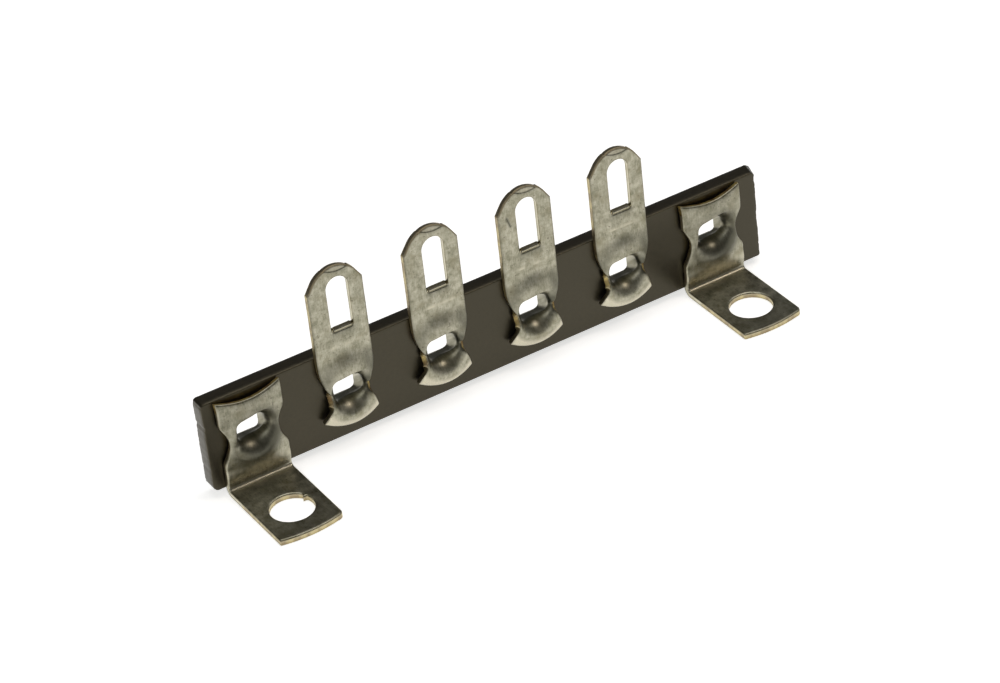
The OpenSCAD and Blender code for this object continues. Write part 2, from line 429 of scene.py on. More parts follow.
# A mouth's lip tips over quickly past its crest, and then curves into the throat. Its tilts are in degrees.
CREST = {"lug": 1.08, "foot": 1.1}
LIP_R = {"lug": 1.5, "foot": 1.75}
LIP_SIDE = {"lug": 0.9, "foot": 1.4}
LIP_TIP = 18
LIP_TIP_SHARE = 0.25
LIP_CURVE = 60
LIP_STEPS = 200
SHARP_LIP = 0.57
SHARP_LIP_EASE = 0.12
SHARP_SIDE = math.radians(135)
lip_share = np.linspace(0, 1, LIP_STEPS + 1)
lip_tilt = np.radians(LIP_TIP * smooth(lip_share / LIP_TIP_SHARE) + LIP_CURVE * lip_share ** 2)
lip_fall = np.concatenate([[0], np.cumsum(np.tan((lip_tilt[1:] + lip_tilt[:-1]) / 2) / LIP_STEPS)])
mouth_turn = np.radians(np.arange(0, 360, 4))


def mouth_sharp(turn):
    """The lip is a broad funnel below and to the right, and a sharp edge above and to the left."""
    return smooth(0.2 + 0.9 * np.cos(turn - SHARP_SIDE))


# A throat is squarest at its upper left. Its underside is an arc set to the left, highest at the mouth.
MOUTH_SQUARENESS = 0.35
CORNER_SQUARENESS = 0.5
REAR_SQUARENESS = 0.3
SQUARE_SIDE = math.radians(150)
MOUTH_FLARE = 0.14
THROAT_SQUEEZE = {"lug": 0.36, "foot": 0.48}
UNDERSIDE_R = 2.4
UNDERSIDE_SHIFT = 0.35
REAR_FLATTENING = 3
UNDERSIDE_JOIN = 10


def mouth_throat(kind, turn, rear=0.0):
    """Distance of the throat's wall from the eyelet's axis, between its mouth (0) and its rear end (1)."""
    upper_left = np.maximum(np.cos(turn - SQUARE_SIDE), 0)
    squareness = MOUTH_SQUARENESS + CORNER_SQUARENESS * upper_left + REAR_SQUARENESS * rear
    flare = MOUTH_FLARE * (1 - rear) ** 2 * np.maximum(np.cos(turn), 0) ** 2
    squeeze = THROAT_SQUEEZE[kind] + (REAR_SQUEEZE[kind] - THROAT_SQUEEZE[kind]) * rear
    radius = UNDERSIDE_R * (1 + REAR_FLATTENING * rear)
    above = radius - (EYELET_HALF - squeeze)
    middle = above * np.sin(turn) - UNDERSIDE_SHIFT * np.cos(turn)
    underside = middle + np.sqrt(middle ** 2 + radius ** 2 - above ** 2 - UNDERSIDE_SHIFT ** 2)
    around = throat_radius(turn, np.clip(squareness, 0, 1)) + flare
    return (around ** -UNDERSIDE_JOIN + underside ** -UNDERSIDE_JOIN) ** (-1 / UNDERSIDE_JOIN)


def lip_reach(kind, turn):
    """Width of the funnel between crest and throat where the lip is not sharp."""
    return LIP_SIDE[kind] + (LIP_R[kind] - LIP_SIDE[kind]) * np.maximum(-np.sin(turn), 0) ** 2


def lip_span(kind, turn):
    """Distance from the mouth's throat to its crest."""
    reach = lip_reach(kind, turn)
    return reach + (SHARP_LIP - reach) * mouth_sharp(turn)


def mouth_share(kind, du, dv):
    """How far into the trumpet mouth a point lies, from 0 on its crest to 1 in its throat."""
    turn = np.arctan2(dv, du)
    span = lip_span(kind, turn)
    return np.clip((mouth_throat(kind, turn) + span - np.hypot(du, dv)) / span, 0, 1)


def mouth_drop(kind, du, dv):
    """How far the mouth's surface lies behind its crest, over the curve of the lip."""
    share = mouth_share(kind, du, dv)
    turn = np.arctan2(dv, du)
    sharp = mouth_sharp(turn)
    broad = lip_reach(kind, turn) * np.interp(share, lip_share, lip_fall)
    cone = CREST[kind] * (1 + SHARP_LIP_EASE) * share ** 2 / (share + SHARP_LIP_EASE)
    return broad + (cone - broad) * sharp


# Painted shade on the underside of a throat.
THROAT_SHADE = 0.75
SHADE_FROM = 0.7


def throat_shade(kind, du, dv):
    """Painted shade on the underside of the mouth, from the end of its funnel inwards."""
    low = np.maximum(-dv / np.hypot(du, dv), 0)
    return THROAT_SHADE * low * smooth((mouth_share(kind, du, dv) - SHADE_FROM) / (1 - SHADE_FROM))


RING_SHARES = (0, 0.06, 0.13, 0.22, 0.32, 0.43, 0.55, 0.67, 0.78, 0.87, 0.94, 0.98, 1)


def mouth_rings(kind):
    """Rings of points over the trumpet mouth. The last is the throat's outline."""
    throat = mouth_throat(kind, mouth_turn)
    span = lip_span(kind, mouth_turn)
    rings = []
    for share in RING_SHARES:
        away = throat + span * (1 - share)
        ring = np.column_stack([away * np.cos(mouth_turn), away * np.sin(mouth_turn)])
        rings.append(ring + [EYELET_SHIFT, EYELET_LIFT[kind]])
    return rings


WAVES = 7
WAVE_SPREAD = (0.7, 1.8)


def waves(u, v, seed, height, length):
    """Slow unevenness of pressed sheet, as a few crossing waves."""
    chance = np.random.default_rng(seed)
    total = np.zeros_like(u)
    for _ in range(WAVES):
        bearing, phase = chance.uniform(0, 2 * math.pi, 2)
        span = length * chance.uniform(*WAVE_SPREAD)
        total += np.sin((u * math.cos(bearing) + v * math.sin(bearing)) * 2 * math.pi / span + phase)
    return height * total / WAVES


CURL_R = 0.5
NECK_ROWS = 9
PETAL_ROWS = 10
PETAL_HALF = 0.98
PETAL_LENGTH = (1.25, 1.5)
PETAL_LAY = (74, 90)
PETAL_TAPER = 0.16
PETAL_LEAN = 0.12
PETAL_ROUNDING = 0.3
PETAL_TEAR = 0.05
TEAR_TURN_PER_MM = 7
NECK_STRETCH = 1.3
BLANK_APART = 20.0
CURL_START = BOARD_T + NECK_WALL - CURL_R


def clinched(kind, points, faces, thick, marks, throat, centre, seed):
    """Carries the throat through the board and spreads it behind in four torn petals."""
    chance = np.random.default_rng(seed)
    added, blank = [], []
    start = points[throat, 1] - FACE_Y

    def place(x, depth, z, far):
        added.append((centre[0] + x, FACE_Y + depth, centre[1] + z))
        blank.append((x * NECK_STRETCH, z * NECK_STRETCH + far, BLANK_APART * seed))
        return len(points) + len(added) - 1

    row = throat
    for step in range(1, NECK_ROWS + 1):
        depth = start + (CURL_START - start) * step / NECK_ROWS
        away = mouth_throat(kind, mouth_turn, step / NECK_ROWS)
        below = [place(r * math.cos(t), d, r * math.sin(t), d) for r, t, d in zip(away, mouth_turn, depth)]
        for k in range(len(row)):
            after = (k + 1) % len(row)
            faces.append((row[k], row[after], below[after], below[k]))
        row = below
    for side in range(4):
        facing = side * math.pi / 2
        foot = EYELET_HALF - REAR_SQUEEZE[kind] * (side == 3)
        offset = (mouth_turn - facing + math.pi) % (2 * math.pi) - math.pi
        across = EYELET_HALF * np.tan(np.clip(offset, -1, 1))
        columns = [k for k in np.argsort(offset) if abs(across[k]) < PETAL_HALF]
        lay = math.radians(chance.uniform(*PETAL_LAY))
        length = chance.uniform(*PETAL_LENGTH)
        lean = chance.uniform(-PETAL_LEAN, PETAL_LEAN)
        upper = [row[k] for k in columns]
        for step in range(1, PETAL_ROWS + 1):
            share = step / PETAL_ROWS
            lower = []
            for k in columns:
                torn = length * (1 - PETAL_ROUNDING * abs(across[k]) ** 3)
                torn += PETAL_TEAR * math.sin(TEAR_TURN_PER_MM * across[k] + seed)
                run = torn * share
                turned = min(run / CURL_R, lay)
                straight = max(0, run - CURL_R * lay)
                out = foot + CURL_R * (1 - math.cos(turned)) + straight * math.sin(turned)
                back = CURL_R * math.sin(turned) + straight * math.cos(turned)
                along = across[k] * (1 - PETAL_TAPER * share) + lean * straight
                x = out * math.cos(facing) - along * math.sin(facing)
                z = out * math.sin(facing) + along * math.cos(facing)
                lower.append(place(x, CURL_START + back, z, run))
            for k in range(len(columns) - 1):
                faces.append((upper[k], upper[k + 1], lower[k + 1], lower[k]))
            upper = lower
    count = len(added)
    # The underside of the neck is painted darker, as painted shade; the petals are not.
    neck_shade = np.tile(THROAT_SHADE * np.maximum(-np.sin(mouth_turn), 0), NECK_ROWS)
    neck_and_petal_shade = np.concatenate([neck_shade, np.zeros(count - len(neck_shade))])
    ends = {
        "blank": np.array(blank), "rim": np.ones(count), "drawn": np.ones(count),
        "pressed": np.zeros(count), "strained": neck_and_petal_shade, "bare": np.ones(count),
        "tarnished": np.zeros(count),
    }
    return (
        np.vstack([points, added]), faces, np.concatenate([thick, np.full(count, NECK_WALL)]),
        {label: np.concatenate([values, ends[label]]) for label, values in marks.items()},
    )


# Tinned brass: a thin dull coat of tin on rolled sheet, so a warm grey mirror, blurred and finely streaked
# along the rolling, with darker handled patches and small pits. The colour is painted lighter, as painted
# light on the fans and as painted highlight on a broken line over the groove and on bands and creases of the
# feet, where the coat is also pressed smoother; the pressed facets are lighter too. It is painted darker as
# painted shade round and in the mouths, beside and over them, along the blades' sides, below the slots and at
# the facets' edges; it is darker on the upper tabs and the plates of the feet and along a scratch, and brown
# where it has tarnished. Streaks and pits are drawn coarser than they are, because the real ones are too fine
# to show.
TIN = "#BFBBA8"
TIN_DULL = "#817F6B"
TIN_STAIN = "#857F66"
TIN_PAINTED_LIGHT = "#C9C3AE"
TIN_DARKENED = "#58574C"
PIT = "#45362A"
BRASS = "#A08C55"
TARNISH = "#A3967A"
STREAK_MM = (0.14, 0.6)
STREAK_DEEP_MM = 0.006
PATCH_MM = 0.9
PATCH_DEEP_MM = 0.012
STAIN_MM = 1.6
PIT_MM = 0.24
RUBBED_MM = 0.05


def tinned_brass():
    material = bpy.data.materials.new("tinned_brass_sheet")
    material.use_nodes = True
    tree = material.node_tree
    shader = tree.nodes["Principled BSDF"]
    place = add(tree, "ShaderNodeAttribute", attribute_name="blank").outputs["Vector"]
    rim = add(tree, "ShaderNodeAttribute", attribute_name="rim").outputs["Fac"]
    pressed = add(tree, "ShaderNodeAttribute", attribute_name="pressed").outputs["Fac"]
    strained = add(tree, "ShaderNodeAttribute", attribute_name="strained").outputs["Fac"]
    depth = add(tree, "ShaderNodeAttribute", attribute_name="depth").outputs["Fac"]
    strained = add(tree, "ShaderNodeMapRange", {"Value": depth, "To Min": strained, "To Max": 0.0})
    drawn = add(tree, "ShaderNodeAttribute", attribute_name="drawn").outputs["Fac"]
    tarnished = add(tree, "ShaderNodeAttribute", attribute_name="tarnished").outputs["Fac"]
    calm = add(tree, "ShaderNodeMapRange", {
        "Value": drawn, "From Min": 0.25, "From Max": 0.55, "To Min": 0.5, "To Max": 0.06,
    })
    even = add(tree, "ShaderNodeMapRange", {
        "Value": pressed, "From Max": 0.5, "To Min": calm.outputs[0], "To Max": 0.04,
    })
    rolling = add(tree, "ShaderNodeMapping", {
        "Vector": place, "Scale": (1 / STREAK_MM[0], 1 / STREAK_MM[1], 1),
    })
    streak = add(tree, "ShaderNodeTexNoise", {"Vector": rolling.outputs[0], "Scale": 1.0, "Detail": 3.0})
    patch = add(tree, "ShaderNodeTexNoise", {
        "Vector": place, "Scale": 1 / PATCH_MM, "Detail": 6.0, "Roughness": 0.75,
    })
    stain = add(tree, "ShaderNodeTexNoise", {"Vector": place, "Scale": 1 / STAIN_MM, "Detail": 4.0})
    pit = add(tree, "ShaderNodeTexNoise", {"Vector": place, "Scale": 1 / PIT_MM, "Detail": 1.0})
    tone = add(tree, "ShaderNodeMath", {
        0: streak.outputs["Fac"], 1: 0.35, 2: patch.outputs["Fac"],
    }, operation="MULTIPLY_ADD")
    tone = add(tree, "ShaderNodeMapRange", {"Value": tone.outputs[0], "From Min": 0.5, "From Max": 0.85})
    tin = add(tree, "ShaderNodeMix", {
        0: tone.outputs[0], 6: linear(TIN_DULL), 7: linear(TIN),
    }, data_type="RGBA")
    stained = add(tree, "ShaderNodeMapRange", {
        "Value": stain.outputs["Fac"], "From Min": 0.52, "From Max": 0.75, "To Max": 0.7,
    })
    tin = add(tree, "ShaderNodeMix", {
        0: stained.outputs[0], 6: tin.outputs[2], 7: linear(TIN_STAIN),
    }, data_type="RGBA")
    pitted = add(tree, "ShaderNodeMapRange", {
        "Value": pit.outputs["Fac"], "From Min": 0.67, "From Max": 0.75, "To Max": even.outputs[0],
    })
    tin = add(tree, "ShaderNodeMix", {
        0: pitted.outputs[0], 6: tin.outputs[2], 7: linear(PIT),
    }, data_type="RGBA")
    # Painted light: the tin is lighter on the fans, and painted highlight on the groove line and the feet's
    # bands and creases, where the coat is also pressed.
    tin = add(tree, "ShaderNodeMix", {
        0: pressed, 6: tin.outputs[2], 7: linear(TIN_PAINTED_LIGHT),
    }, data_type="RGBA")
    # Painted shade: the tin is darker on the front round the mouths, below the slots, at the facets' edges
    # and on the feet, and along a scratch.
    tin = add(tree, "ShaderNodeMix", {
        0: strained.outputs[0], 6: tin.outputs[2], 7: linear(TIN_DARKENED),
    }, data_type="RGBA")
    rubbed = add(tree, "ShaderNodeMapRange", {
        "Value": rim, "From Min": 0.0, "From Max": RUBBED_MM, "To Min": 0.3, "To Max": 0.0,
    })
    tin = add(tree, "ShaderNodeMix", {
        0: rubbed.outputs[0], 6: tin.outputs[2], 7: linear(BRASS),
    }, data_type="RGBA")
    colour = add(tree, "ShaderNodeMix", {
        0: tarnished, 6: tin.outputs[2], 7: linear(TARNISH),
    }, data_type="RGBA")
    rough = add(tree, "ShaderNodeMapRange", {
        "Value": patch.outputs["Fac"], "From Min": 0.3, "From Max": 0.7, "To Min": 0.34, "To Max": 0.44,
    })
    gloss = add(tree, "ShaderNodeMapRange", {
        "Value": pressed, "From Min": 0.6, "To Min": 1.0, "To Max": 0.65,
    })
    rough = add(tree, "ShaderNodeMath", {0: rough.outputs[0], 1: gloss.outputs[0]}, operation="MULTIPLY")
    rough = add(tree, "ShaderNodeMath", {
        0: tarnished, 1: 0.3, 2: rough.outputs[0],
    }, operation="MULTIPLY_ADD")
    grain = add(tree, "ShaderNodeBump", {
        "Height": streak.outputs["Fac"], "Distance": STREAK_DEEP_MM * MM, "Strength": even.outputs[0],
    })
    dent = add(tree, "ShaderNodeBump", {
        "Height": patch.outputs["Fac"], "Distance": PATCH_DEEP_MM * MM, "Strength": even.outputs[0],
        "Normal": grain.outputs[0],
    })
    tree.links.new(colour.outputs[2], shader.inputs["Base Color"])
    tree.links.new(rough.outputs[0], shader.inputs["Roughness"])
    tree.links.new(dent.outputs[0], shader.inputs["Normal"])
    shader.inputs["Metallic"].default_value = 1.0
    return material


# Sheared edge: tin smeared over the cut by the punch, dull and torn below it, with the yellow and brown of
# bare brass where the sheet was stretched round an eyelet, and a dark tarnish along the upper edges. The
# lines left by the shear are drawn coarser than they are, because the real ones are too fine to show.
SMEARED = "#CBC6B0"
TORN = "#A59E84"
BARE = "#C4B070"
BARE_BROWN = "#8A7048"
SHEAR_MM = 0.08
SHEAR_DEEP_MM = 0.006
TEAR_MM = 0.8


def sheared_edge():
    material = bpy.data.materials.new("sheared_brass_edge")
    material.use_nodes = True
    tree = material.node_tree
    shader = tree.nodes["Principled BSDF"]
    place = add(tree, "ShaderNodeAttribute", attribute_name="blank").outputs["Vector"]
    depth = add(tree, "ShaderNodeAttribute", attribute_name="depth").outputs["Fac"]
    bare = add(tree, "ShaderNodeAttribute", attribute_name="bare").outputs["Fac"]
    line = add(tree, "ShaderNodeTexNoise", {"Vector": place, "Scale": 1 / SHEAR_MM, "Detail": 3.0})
    tear = add(tree, "ShaderNodeTexNoise", {"Vector": place, "Scale": 1 / TEAR_MM, "Detail": 2.0})
    torn = add(tree, "ShaderNodeMath", {0: depth, 1: tear.outputs["Fac"]}, operation="ADD")
    torn = add(tree, "ShaderNodeMapRange", {"Value": torn.outputs[0], "From Min": 0.75, "From Max": 1.15})
    smeared = add(tree, "ShaderNodeMix", {
        0: torn.outputs[0], 6: linear(SMEARED), 7: linear(TORN),
    }, data_type="RGBA")
    brown = add(tree, "ShaderNodeMapRange", {"Value": tear.outputs["Fac"], "From Min": 0.42, "From Max": 0.6})
    brass = add(tree, "ShaderNodeMix", {
        0: brown.outputs[0], 6: linear(BARE), 7: linear(BARE_BROWN),
    }, data_type="RGBA")
    bare = add(tree, "ShaderNodeMapRange", {"Value": bare, "From Min": 0.3, "From Max": 0.55})
    colour = add(tree, "ShaderNodeMix", {
        0: bare.outputs[0], 6: smeared.outputs[2], 7: brass.outputs[2],
    }, data_type="RGBA")
    tarnished = add(tree, "ShaderNodeAttribute", attribute_name="tarnished").outputs["Fac"]
    colour = add(tree, "ShaderNodeMix", {
        0: tarnished, 6: colour.outputs[2], 7: linear(TARNISH),
    }, data_type="RGBA")
    rough = add(tree, "ShaderNodeMapRange", {"Value": bare.outputs[0], "To Min": 0.3, "To Max": 0.6})
    bump = add(tree, "ShaderNodeBump", {
        "Height": line.outputs["Fac"], "Distance": SHEAR_DEEP_MM * MM, "Strength": 0.4,
    })
    tree.links.new(colour.outputs[2], shader.inputs["Base Color"])
    tree.links.new(rough.outputs[0], shader.inputs["Roughness"])
    tree.links.new(bump.outputs[0], shader.inputs["Normal"])
    shader.inputs["Metallic"].default_value = 1.0
    return material


LUG_W = 5.44
LUG_REACH = 13.13
TIP_R = 2.55
TIP_SLOPE = 33
SHOULDER_RISE = 3.16
SHOULDER_R = 4.35
LUG_WAIST_HALF = 1.7
FAN_NECK = 0.12
FAN_DROP = 3.04
FAN_LEFT = (-2.92, -2.09)
FAN_LEFT_BEND = (-2.2, -1.1)
FAN_RIGHT = (2.6, -2.2)
FAN_RIGHT_BEND = (2.25, -1.0)
SLOT_W = 2.16
SLOT_LEN = 5.33
SLOT_CORNER_R = 0.25


def curve(start, bend, end, step=0.08):
    """A curve from start to end that leaves and arrives along the lines through bend."""
    start, bend, end = (np.array(point, float) for point in (start, bend, end))
    count = max(3, math.ceil(np.linalg.norm(end - start) / step))
    share = np.linspace(0, 1, count)[:, None]
    return (1 - share) ** 2 * start + 2 * share * (1 - share) * bend + share ** 2 * end


def lug_outline():
    """Counter-clockwise from the right end of the fan, in millimetres from the eyelet's height."""
    half = LUG_W / 2
    tip_v = LUG_REACH - TIP_R
    slope = math.radians(TIP_SLOPE)
    side_top = tip_v - (half * math.cos(slope) - TIP_R) / math.sin(slope)
    sweep = math.degrees(math.acos((LUG_WAIST_HALF + SHOULDER_R - half) / SHOULDER_R))
    fan_bend = (0, -2 * FAN_DROP - (FAN_LEFT[1] + FAN_RIGHT[1]) / 2)
    return closed([
        curve(FAN_RIGHT, FAN_RIGHT_BEND, (LUG_WAIST_HALF, -FAN_NECK)),
        arc((half - SHOULDER_R, SHOULDER_RISE), SHOULDER_R, -sweep, 0),
        [(half, side_top)],
        arc((0, tip_v), TIP_R, TIP_SLOPE, 180 - TIP_SLOPE),
        [(-half, side_top)],
        arc((SHOULDER_R - half, SHOULDER_RISE), SHOULDER_R, 180, 180 + sweep),
        curve((-LUG_WAIST_HALF, -FAN_NECK), FAN_LEFT_BEND, FAN_LEFT),
        curve(FAN_LEFT, fan_bend, FAN_RIGHT),
    ], SHEET_STEP)


def slot_outline(centre_u, start_v):
    """The wire slot: square below and round above."""
    half = SLOT_W / 2
    ease = half - SLOT_CORNER_R
    foot_v = start_v + SLOT_CORNER_R
    return closed([
        arc((centre_u - ease, foot_v), SLOT_CORNER_R, 180, 270),
        arc((centre_u + ease, foot_v), SLOT_CORNER_R, 270, 360),
        arc((centre_u, start_v + SLOT_LEN - half), half, 0, 180),
    ], SHEET_STEP)


BLADE_FALL = 0.46
BLADE_FROM = (2.3, 4.5)
LUG_FLANK = 0.35
FAN_LEAN = math.radians(17.5)
FAN_EASE = 0.08
SLOT_DIP = 0.04
SLOT_DIP_REACH = 1.3
SLOT_SHADE = 0.65
GROOVE_V = 5.1
GROOVE = 0.022
GROOVE_EDGE = 0.3
GROOVE_HIGHLIGHT_W = 0.13
FACET_V = 12.48
FACET_BOW = 0.19
FACET_MIDDLE = 0.55
FACET_STEP = 0.03
FACET_STEP_W = 0.08
FACET_LEAN = math.radians(9)
FACET_PRESSED = 0.4
FACET_EDGE_SHADE = 0.45
SHEET_WAVE = (0.02, 2.2)
# Painted shade in an arch over a lug's mouth and beside it.
ARCH_SHADE_R = 3.25
ARCH_SHADE_W = 0.8
LIP_SHADE = 0.95
LIP_SHADE_R = 1.7
LIP_SHADE_W = 0.4
LIP_SHADE_SIDE = math.radians(5)
MOST_SHADE = 0.9
DRAW_REACH = 2.2
TIP_TARNISH = 0.85


def facet_line(u):
    """Where the facet at a lug's tip begins."""
    return FACET_V + FACET_BOW * (u - FACET_MIDDLE) ** 2


def lug_front(u, v, outer, slot_u, slot_v, seed):
    """A lug's front before its edges are rolled: its height over the board's face, and its marks."""
    du, dv = u - EYELET_SHIFT, v - EYELET_LIFT["lug"]
    turn = np.arctan2(dv, du)
    away = np.hypot(du, dv)
    oval = np.hypot(1.1 * du, dv)
    upper = smooth((dv + 0.4) / 0.8)
    blade = smooth((oval - BLADE_FROM[0]) / (BLADE_FROM[1] - BLADE_FROM[0]))
    flank = (du / np.maximum(away, 0.5)) ** 2 * smooth((np.hypot(1.5 * du, dv) - 1.8) / 1.2)
    flank *= smooth((dv + 0.2 - 0.4 * np.sign(du)) / 0.9) * (1 - blade)
    fan_from = EYELET_HALF - THROAT_SQUEEZE["lug"] + LIP_R["lug"]
    fan = math.tan(FAN_LEAN) * FAN_EASE * np.log1p(np.exp((away - fan_from) / FAN_EASE))
    fall = upper * BLADE_FALL * blade + LUG_FLANK * flank + (1 - upper) * fan
    height = CREST["lug"] - fall - mouth_drop("lug", du, dv)
    height -= GROOVE * smooth((GROOVE_V + GROOVE_EDGE / 2 - v) / GROOVE_EDGE) * smooth((v - 3.4) / 1.2)
    # Below the slot the front dips a little, and its tin is painted darker as painted shade.
    below_slot = np.clip(1 - np.abs(v - slot_v) / SLOT_DIP_REACH, 0, 1) ** 2 * (v < slot_v)
    below_slot *= smooth((1.6 - np.abs(u - slot_u)) / 0.8)
    height -= SLOT_DIP * below_slot
    past = v - facet_line(u)
    height -= FACET_STEP * smooth(past / FACET_STEP_W)
    height -= math.tan(FACET_LEAN) * np.maximum(past - FACET_STEP_W / 2, 0)
    height += waves(u, v, seed, *SHEET_WAVE) * smooth((away - 2.4) / 0.6)
    # The fan and a broken line over the groove are pressed smoother and painted lighter, as painted light and
    # painted highlight. The facet was pressed, which also makes it lighter.
    groove_highlight = np.exp(-((v - GROOVE_V) / GROOVE_HIGHLIGHT_W) ** 2) * smooth((1.9 - np.abs(u - 0.2)) / 0.8)
    groove_highlight *= np.clip(0.6 + waves(u, v, seed + 9, 1.2, 1.2), 0, 1)
    facet = FACET_PRESSED * smooth((past - 0.06) / 0.1)
    # Painted shade: the front is darker in an arch over the mouth, beside it, along the blade's sides, right
    # of its lip, at the facet's edge, in the throat's underside and below the slot.
    arch_shade = upper * np.exp(-((oval - ARCH_SHADE_R) / ARCH_SHADE_W) ** 2) * (0.2 + 0.15 * np.abs(np.cos(turn)))
    beside = smooth((np.abs(du) - 1.2) / 0.8) * smooth((dv + 0.2) / 0.8) * smooth(4.2 - dv)
    side_shade = smooth((0.2 - outer) / 0.1) * smooth((np.abs(u) - 2.3) / 0.2)
    arch_shade += beside * (0.3 + 0.1 * np.sign(du)) + 0.3 * side_shade
    # Painted shade on the right side of the lip.
    lip_shade = np.exp(-((away - LIP_SHADE_R) / LIP_SHADE_W) ** 2)
    lip_shade *= LIP_SHADE * np.maximum(np.cos(turn - LIP_SHADE_SIDE), 0) ** 4
    # Painted shade: a dark line along the crease at the facet's edge.
    facet_edge_shade = FACET_EDGE_SHADE * np.exp(-((past - 0.02) / 0.09) ** 2)
    painted_shade = arch_shade + lip_shade + facet_edge_shade + throat_shade("lug", du, dv) + SLOT_SHADE * below_slot
    return height, {
        "pressed": (1 - upper) * smooth((away - fan_from) / 0.45) + groove_highlight + facet,
        "strained": np.clip(painted_shade, 0, MOST_SHADE),
        "bare": np.exp(-(away / DRAW_REACH) ** 2) + 0.43 * smooth((np.abs(u) - 2.5) / 0.15) * smooth(v - 1),
        "tarnished": TIP_TARNISH * smooth((0.15 - outer) / 0.08) * smooth((v - 11) / 0.5),
    }


def blank_marks(flat, loops, centre, seed):
    """The marks of a stamped blank, with the draw strongest round its eyelet."""
    away = np.hypot(*(flat - centre).T)
    return {
        "blank": np.column_stack([flat, np.full(len(flat), BLANK_APART * seed)]),
        "rim": edge_distance(flat, loops),
        "drawn": np.exp(-(away / DRAW_REACH) ** 2),
    }


# One lug carries a scratch on its blade, given by its two ends.
SCRATCHED = "lug_3"
SCRATCH = np.array([(-1.86, 10.69), (-1.56, 9.74)])
SCRATCH_W = 0.11
facet_u = np.arange(-2.6, 2.8, 0.07)
FACET_ROWS = (0.0, 0.04, 0.08, -0.04, 0.12)
facet_creases = [np.column_stack([facet_u, facet_line(facet_u) + row]) for row in FACET_ROWS]
sheet_finish = [tinned_brass(), sheared_edge()]
for number, name in enumerate(LUG_NAMES, 1):
    x = middle_x(name)
    lift = EYELET_LIFT["lug"]
    slot = mounts[f"wire_slot_{number}"]
    slot_u, slot_v = slot.x - x, slot.z - EYELET_Z - SLOT_LEN / 2
    rings = mouth_rings("lug")
    loops = [lug_outline(), slot_outline(slot_u, slot_v), rings[-1]]
    creases = list(facet_creases)
    if name == SCRATCHED:
        creases += [np.linspace(*SCRATCH, 16) + [step * SCRATCH_W, 0] for step in (0, -1, 1, -2, 2)]
    flat, faces, throat = punch(loops, SHEET_GRID, EDGE_ROWS, rings[:-1], creases)
    u, v = flat.T
    height, worked = lug_front(u, v, edge_distance(flat, loops[:1]), slot_u, slot_v, 40 + number)
    if name == SCRATCHED:
        worked["strained"] += np.exp(-(edge_distance(flat, [SCRATCH]) / SCRATCH_W) ** 2)
    lug = solid_sheet(f"{name}_stamping", *clinched(
        "lug", np.column_stack([x + u, FACE_Y - height, EYELET_Z + v]), faces,
        SHEET_T + (NECK_WALL - SHEET_T) * mouth_share("lug", u - EYELET_SHIFT, v - lift) ** 2,
        blank_marks(flat, loops[:2], (EYELET_SHIFT, lift), number) | worked,
        throat, (x + EYELET_SHIFT, EYELET_Z + lift), number,
    ), EDGE_ROLL, BURR_ROLL, sheet_finish)
    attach(lug, "root")
    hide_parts(name)

# Feet
# Each foot is stamped from the same sheet and bent at a right angle: a waisted tab on the board and a plate
# below. The plate has a screw hole, and the tab carries an eyelet that is clinched like those of the lugs.

FOOT_HALF = 3.14
TAB_RISE = 4.5
TAB_DIP = 0.6
WAIST_R = 2.6
WAIST_HALF = 2.45
WAIST_EASE = 0.15
TAB_BOW = 0.0128
TAB_FLANK = 0.42
TOP_ROLL = (0.9, 0.12)
# A painted shade ring round a foot's mouth.
RING_SHADE_R = 2.15
RING_SHADE_SIDE = math.radians(-50)
# A painted highlight band of spots below a foot's mouth, and a painted highlight line along its bend.
SPOT_V = -3.15
SPOT_W = 0.4
SPOT_STEP = 0.68
SPOT_HIGHLIGHT = 0.42
CREASE_HIGHLIGHT = 0.45
FOOT_BARE_REACH = 2.6
BEND_R = 0.3
BEND_LEAN = math.radians(10)
LEAN_HANDLE = 2.0
HOLE_R = 1.985
PLATE_REACH = 9.95
PLATE_BULGE = 0.35
PLATE_CORNER_R = 0.6


def foot_path():
    """The foot's front surface from its top edge down and round the bend, as (height over the board, v)."""
    bend_h = SHEET_T + BEND_R
    bend_v = SHEET_T + BEND_R - EYELET_Z
    heading = np.array([-math.sin(BEND_LEAN), -math.cos(BEND_LEAN)])
    bend = arc((bend_h, bend_v), BEND_R, 180 - math.degrees(BEND_LEAN), 270, 0.02)
    upper_v = np.linspace(TAB_RISE, 0, 40)
    upper = np.column_stack([CREST["foot"] - TAB_BOW * upper_v ** 2, upper_v])
    share = np.linspace(0, 1, 60)[:, None]
    start = upper[-1]
    lean = (
        (1 - share) ** 3 * start + 3 * share * (1 - share) ** 2 * (start - [0, LEAN_HANDLE])
        + 3 * share ** 2 * (1 - share) * (bend[0] - heading) + share ** 3 * bend[0]
    )
    path = np.vstack([upper, lean[1:], bend[1:], [(PLATE_REACH + 1, bend[-1][1])]])
    run = np.concatenate([[0], np.cumsum(np.linalg.norm(np.diff(path, axis=0), axis=1))])
    return path, run


path, path_run = foot_path()
PLATE_V = TAB_RISE - path_run[-1] + path[-1][0]
dip_r = (FOOT_HALF ** 2 + TAB_DIP ** 2) / (2 * TAB_DIP)


def foot_half(v):
    """Half of the foot's width along the blank: drawn in round the eyelet, and straight elsewhere."""
    cut = WAIST_HALF + WAIST_R - np.sqrt(np.maximum(WAIST_R ** 2 - v ** 2, 0))
    cut = np.minimum(cut, 5)
    return -WAIST_EASE * np.log(np.exp(-FOOT_HALF / WAIST_EASE) + np.exp(-cut / WAIST_EASE))


